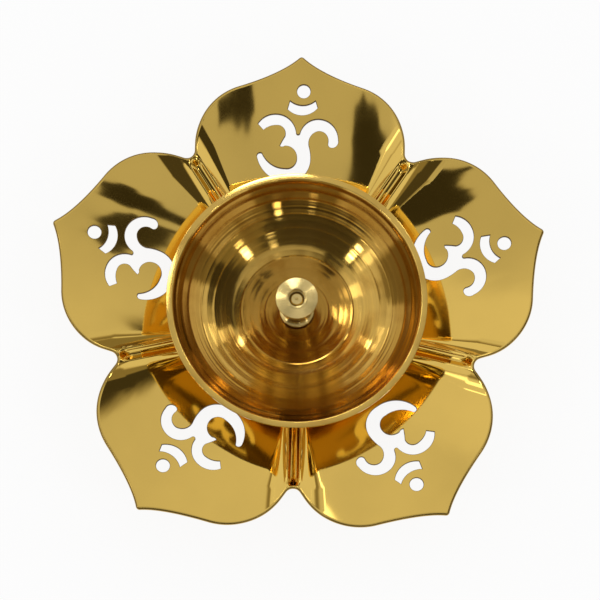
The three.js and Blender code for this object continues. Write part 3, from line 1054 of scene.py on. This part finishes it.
def light_world(studio):
    """White to the camera. Reflections show cards and a round, leaning ceiling over a dim, warm horizon."""
    graph = Graph(bpy.context.scene.world or new_world())
    way = graph.node("TexCoord", output="Generated")
    sockets = {"Vector": way, "Scale": WAVER_SCALE, "Detail": 3.0}
    noise = graph.node("TexNoise", sockets=sockets, output="Color")
    waver = graph.vector("SCALE", graph.vector("SUBTRACT", noise, WAVER_MEAN), WAVER)
    bent = graph.vector("ADD", way, waver)
    lean = (0, math.sin(studio.ceiling_lean), math.cos(studio.ceiling_lean))
    seen, mirrored, passed = graph.rays()
    ceiling = graph.ramp(graph.dot(way, (0, 1, 0)), 0.0, 0.6, studio.ceiling, studio.ceiling_back)
    edge = (math.cos(studio.ceiling_reach + studio.ceiling_soft), math.cos(studio.ceiling_reach))
    white = graph.ramp(graph.dot(way, lean), *edge)
    room = studio.horizon + white * (ceiling - studio.horizon)
    for _, *card, brightness in CARDS:
        share = on_card(graph, bent, *card)
        room = room + share * (brightness - room)
        white = white + share * ((1 if brightness > PALE else 0) - white)
    shown = (seen + passed).math("MINIMUM", 1.0)
    warmth = mirrored * (1 - white) * (1 - shown)
    colour = graph.mix(warmth, WHITE, (*studio.horizon_colour, 1))
    strength = shown + (1 - shown) * (mirrored * room + (1 - mirrored) * studio.fill)
    background = graph.node("Background", sockets={"Color": colour, "Strength": strength})
    graph.node("OutputWorld", sockets={"Surface": background})


def new_world():
    bpy.context.scene.world = bpy.data.worlds.new("studio")
    return bpy.context.scene.world


def floor_material(studio):
    """Pale paper that takes the lamp's shadow and shows white."""
    material = bpy.data.materials.new("floor_paper")
    graph = Graph(material)
    seen, mirrored, passed = graph.rays()
    share = (seen + mirrored + passed).math("MINIMUM", 1.0) * studio.floor_glow
    paper = graph.node("BsdfDiffuse", sockets={"Color": PAPER})
    glow = graph.node("Emission", sockets={"Color": WHITE, "Strength": 1.0})
    mixed = graph.node("MixShader", sockets={0: share, 1: paper, 2: glow})
    graph.node("OutputMaterial", sockets={"Surface": mixed})
    return material


def add_floor(studio):
    bm = bmesh.new()
    bmesh.ops.create_grid(bm, x_segments=1, y_segments=1, size=studio.floor_size / 2)
    mesh = new_mesh(bm, "floor")
    mesh.materials.append(floor_material(studio))
    floor = add_object("floor", mesh)


def facing(way):
    return way.to_track_quat("Z", "Y").to_euler()


def add_softbox(name, azimuth, elevation, width, height, radiance, place=(0, 0), distance=LAMP_DISTANCE):
    """A rectangular light that faces a place in the bowl, its width level. The camera doesn't see it."""
    way = toward(azimuth, elevation)
    light = bpy.data.lights.new(name, "AREA")
    light.shape = "RECTANGLE"
    light.size = width
    light.size_y = height
    light.energy = radiance * math.pi * width * height
    box = add_object(name, light)
    box.location = Vector((place[0] * MM, place[1] * MM, RIM_TOP)) + way * distance
    box.visible_camera = False
    box.rotation_euler = facing(way)
    return box


def add_camera(studio):
    """The view: nearly from above, and swung a little round the lamp."""
    turn, lean = studio.camera_turn, studio.camera_elevation
    way = Vector((math.sin(turn) * math.cos(lean), -math.cos(turn) * math.cos(lean), math.sin(lean)))
    camera = add_object("camera", bpy.data.cameras.new("camera"))
    camera.data.lens = studio.camera_lens
    camera.data.sensor_width = SENSOR_WIDTH
    camera.rotation_euler = facing(way)
    axes = camera.rotation_euler.to_matrix()
    aim = Vector((0, 0, RIM_TOP)) + axes @ Vector((studio.aim_right, studio.aim_up, 0))
    camera.location = aim + way * studio.camera_distance
    bpy.context.scene.camera = camera


# What a user can change

def metric(name, description, millimetres):
    return FloatProperty(name=name, description=description, default=millimetres * MM, unit="LENGTH")


def opening(name, description, degrees):
    return FloatProperty(name=name, description=description, default=math.radians(degrees), subtype="ANGLE")


def tint(name, description, *rgb):
    return FloatVectorProperty(name=name, description=description, default=rgb, subtype="COLOR")


def amount(name, description, value):
    return FloatProperty(name=name, description=description, default=value)


class DiyaSizes(bpy.types.PropertyGroup):
    """Sizes that the frame leaves open."""

    arris: metric("Petal arris", "Rounding of the sheet's outer edge", 1)
    saw_arris: metric("Saw arris", "Rounding of the pierced edges", 0.15)
    broken_edge: metric("Broken edge", "Rounding of turned edges", 0.15)
    turning_steps: IntProperty(name="Turning steps", description="Facets of a turned piece", default=192)
    foot_edge: metric("Foot edge", "Height of the rim at the floor", 3.6)
    foot_rounding: metric("Foot rounding", "Rounding of that rim", 0.8)
    foot_waist: metric("Foot waist", "Radius that the cove aims at", 12.5)
    foot_top_radius: metric("Foot top", "Radius under the plate", 15)
    foot_top_edge: metric("Foot top edge", "Height of the top's edge", 1.6)
    rim_width: metric("Rim width", "Width of the bowl's flat rim", 1.7)
    rim_edge: metric("Rim edge", "Height of the rim's outer edge", 0.6)
    bowl_bend_radius: metric("Bowl bend radius", "Where the inside's arc passes", 23)
    bowl_bend_depth: metric("Bowl bend depth", "How deep the inside is there", 12)
    bowl_floor_radius: metric("Bowl floor", "Radius of the flat floor", 7)
    bowl_ring_radius: metric("Bowl ring", "Radius of the ring it stands on", 13.4)
    bowl_ring_wall: metric("Bowl ring wall", "Width of that ring", 2.6)
    post_flange_radius: metric("Post flange", "Radius of the post's foot", 5.2)
    post_flange: metric("Post flange height", "Height of the post's foot", 0.9)
    stem_radius: metric("Stem radius", "Radius of the post's stem", 3.4)
    stem_flare: metric("Stem flare", "Height of its hollow curves", 2.6)
    head_edge: metric("Head edge", "Height of the head's edge", 1.2)
    head_drop: metric("Head drop", "Fall of the head's cone", 0.5)
    lip_radius: metric("Lip radius", "Outer radius of the cup's lip", 3.3)
    lip_step: metric("Lip step", "Rise of the lip over the cone", 0.2)
    cup_radius: metric("Cup radius", "Radius of the cup", 2.6)
    cup_depth: metric("Cup depth", "Depth of the cup", 1.6)
    thread_pitch: metric("Thread pitch", "Rise of the stud's thread", 0.7)
    thread_depth: metric("Thread depth", "Depth of the stud's thread", 0.38)
    stud_tip: metric("Stud tip", "Length above the thread", 1.5)
    stud_relief: metric("Stud relief", "Length of the neck under the tip", 0.6)
    tip_chamfer: metric("Tip chamfer", "On the stud's end", 0.4)
    centre_mark: metric("Centre mark", "Radius of the centre drill's mark", 0.42)


class DiyaFinish(bpy.types.PropertyGroup):
    """Colours and finishes."""

    sheet_colour: tint("Sheet colour", "Polished sheet brass", 0.77, 0.52, 0.12)
    # Painted shade on the pierced walls and down the edges' arrises, which would mirror the shaded floor
    # under the plate
    painted_edge_shade_colour: tint("Sawn colour", "Tarnish in the pierced edges", 0.12, 0.07, 0.02)
    sheet_roughness: amount("Sheet roughness", "Of the polished sheet", 0.035)
    buffing_waves: metric("Buffing waves", "Height of the buffing waves", 0.03)
    bowl_colour: tint("Bowl colour", "Turned brass", 0.82, 0.54, 0.13)
    # The outside is polished without rings; its colour, brighter than the inside's, is painted light that
    # brightens its mirror image round the bowl
    bowl_outside_painted_light: tint("Bowl outside", "Polished like the plate", 0.92, 0.69, 0.22)
    # Painted shade in the bowl, mixed with random stains
    bowl_shade_and_stains: tint("Bowl tarnish", "Stains in the bowl", 0.38, 0.19, 0.03)
    bowl_roughness: amount("Bowl roughness", "Of the turned brass", 0.09)
    turning_marks: metric("Turning marks", "Depth of the lathe's marks", 0.014)
    post_colour: tint("Post colour", "Satin brass", 0.74, 0.56, 0.22)
    post_roughness: amount("Post roughness", "Of the satin brass", 0.18)
    seal_colour: tint("Seal colour", "Brown fibre", 0.07, 0.035, 0.018)


class DiyaStudio(bpy.types.PropertyGroup):
    """Floor, light and camera."""

    floor_size: metric("Floor size", "Side of the floor", 6000)
    floor_glow: amount("Floor glow", "How white the floor shows", 0.88)
    ceiling: amount("Ceiling", "Brightness overhead in reflections", 0.62)
    ceiling_back: amount("Ceiling at the back", "The same, behind the lamp", 0.8)
    ceiling_lean: opening("Ceiling lean", "Tilt of the ceiling to the back", 13.7)
    ceiling_reach: opening("Ceiling reach", "Half the angle that it fills", 38)
    ceiling_soft: opening("Ceiling soft edge", "Over which it fades", 7)
    horizon: amount("Horizon", "Brightness at the horizon in reflections", 0.3)
    horizon_colour: tint("Horizon colour", "Of the room in reflections", 1.0, 0.88, 0.6)
    fill: amount("Fill", "Soft light on dull surfaces", 0.85)
    camera_elevation: opening("Camera elevation", "Height of the view", 76.3)
    camera_turn: opening("Camera turn", "Swing round the lamp", 1.09)
    camera_distance: metric("Camera distance", "From the rim", 800)
    camera_lens: amount("Lens", "Focal length in millimetres", 161)
    aim_right: metric("Aim right", "Of the bowl's centre", 0.96)
    aim_up: metric("Aim up", "Of the bowl's centre", -0.27)


# Operators and panel

class DIYA_OT_petal_plate(bpy.types.Operator):
    """Press, pierce and trim the flower from one sheet"""

    bl_idname = "diya.petal_plate"
    bl_label = "Petal plate"
    bl_options = {"REGISTER", "UNDO"}

    def execute(self, context):
        sizes = context.scene.diya_sizes
        bm = new_sheet()
        add_flat_flower(bm, sizes.arris / MM, sizes.saw_arris / MM)
        thicken_sheet(bm, SHEET, ARRIS_STEPS)
        lift_to_surface(bm)
        bmesh.ops.recalc_face_normals(bm, faces=bm.faces[:])
        flower = add_piece(bm, "pressed_flower", "petal_plate", "root", "polished_brass")
        shade_surface(flower.data)
        return {"FINISHED"}


class DIYA_OT_foot(bpy.types.Operator):
    """Turn the foot"""

    bl_idname = "diya.foot"
    bl_label = "Foot"
    bl_options = {"REGISTER", "UNDO"}

    def execute(self, context):
        sizes = context.scene.diya_sizes
        bm = turned(foot_profile(sizes), sizes.turning_steps)
        add_piece(bm, "turned_foot", "foot", "root", "polished_brass")
        return {"FINISHED"}


class DIYA_OT_bowl(bpy.types.Operator):
    """Turn the oil bowl, with its turning marks"""

    bl_idname = "diya.bowl"
    bl_label = "Oil bowl"
    bl_options = {"REGISTER", "UNDO"}

    def execute(self, context):
        sizes = context.scene.diya_sizes
        bm = turned(bowl_profile(sizes), sizes.turning_steps)
        mark_outside_and_painted_shade(bm, RIM_RADIUS - sizes.rim_width - sizes.broken_edge)
        add_piece(bm, "turned_bowl", "oil_bowl", "bowl", "turned_brass")
        return {"FINISHED"}


class DIYA_OT_post(bpy.types.Operator):
    """Turn the wick post"""

    bl_idname = "diya.post"
    bl_label = "Wick post"
    bl_options = {"REGISTER", "UNDO"}

    def execute(self, context):
        sizes = context.scene.diya_sizes
        bm = turned(post_profile(sizes), sizes.turning_steps)
        add_piece(bm, "turned_post", "wick_post", "post", "satin_brass")
        return {"FINISHED"}


class DIYA_OT_fastenings(bpy.types.Operator):
    """Make the stud, its nut and washer, and the seal"""

    bl_idname = "diya.fastenings"
    bl_label = "Fastenings"
    bl_options = {"REGISTER", "UNDO"}

    def execute(self, context):
        sizes = context.scene.diya_sizes
        washer = turned(ring_profile("plate_washer", sizes.broken_edge), RING_STEPS)
        seal = turned(ring_profile("seal_washer", sizes.broken_edge), RING_STEPS)
        add_piece(washer, "flat_washer", "plate_washer", "root", "satin_brass")
        add_piece(hex_nut(sizes), "hex_nut", "plate_nut", "root", "satin_brass")
        add_piece(threaded_stud(sizes), "threaded_stud", "centre_stud", "root", "satin_brass")
        add_piece(seal, "fibre_washer", "seal_washer", "bowl", "seal")
        return {"FINISHED"}


class DIYA_OT_stage(bpy.types.Operator):
    """Set up the floor, the light and the camera"""

    bl_idname = "diya.stage"
    bl_label = "Stage"
    bl_options = {"REGISTER", "UNDO"}

    def execute(self, context):
        studio = context.scene.diya_studio
        add_floor(studio)
        light_world(studio)
        for softbox in SOFTBOXES:
            add_softbox(*softbox)
        lit = bpy.data.collections.new("lit_from_near")
        for name in LIT_FROM_NEAR:
            lit.objects.link(bpy.data.objects[name])
        for near_lamp in NEAR_LAMPS:
            add_softbox(*near_lamp, distance=NEAR_DISTANCE).light_linking.receiver_collection = lit
        add_camera(studio)
        context.scene.view_settings.view_transform = "Standard"
        return {"FINISHED"}


OPERATORS = (
    DIYA_OT_foot,
    DIYA_OT_petal_plate,
    DIYA_OT_bowl,
    DIYA_OT_post,
    DIYA_OT_fastenings,
    DIYA_OT_stage,
)


class DIYA_PT_panel(bpy.types.Panel):
    """Lists the lamp's operators and sizes"""

    bl_idname = "DIYA_PT_panel"
    bl_label = "Lotus diya"
    bl_space_type = "VIEW_3D"
    bl_region_type = "UI"
    bl_category = "Diya"

    def draw(self, context):
        for operator in OPERATORS:
            self.layout.operator(operator.bl_idname)
        for group in (context.scene.diya_sizes, context.scene.diya_finish, context.scene.diya_studio):
            box = self.layout.box()
            for name in group.bl_rna.properties.keys():
                if name not in ("rna_type", "name"):
                    box.prop(group, name)


GROUPS = {"diya_sizes": DiyaSizes, "diya_finish": DiyaFinish, "diya_studio": DiyaStudio}


def register():
    for cls in (*GROUPS.values(), *OPERATORS, DIYA_PT_panel):
        bpy.utils.register_class(cls)
    for name, group in GROUPS.items():
        setattr(bpy.types.Scene, name, PointerProperty(type=group))


def unregister():
    for name in GROUPS:
        delattr(bpy.types.Scene, name)
    for cls in (DIYA_PT_panel, *OPERATORS, *GROUPS.values()):
        bpy.utils.unregister_class(cls)


def main():
    register()
    bpy.ops.diya.foot()
    bpy.ops.diya.petal_plate()
    bpy.ops.diya.bowl()
    bpy.ops.diya.post()
    bpy.ops.diya.fastenings()
    bpy.ops.diya.stage()


if __name__ == "__main__":
    main()
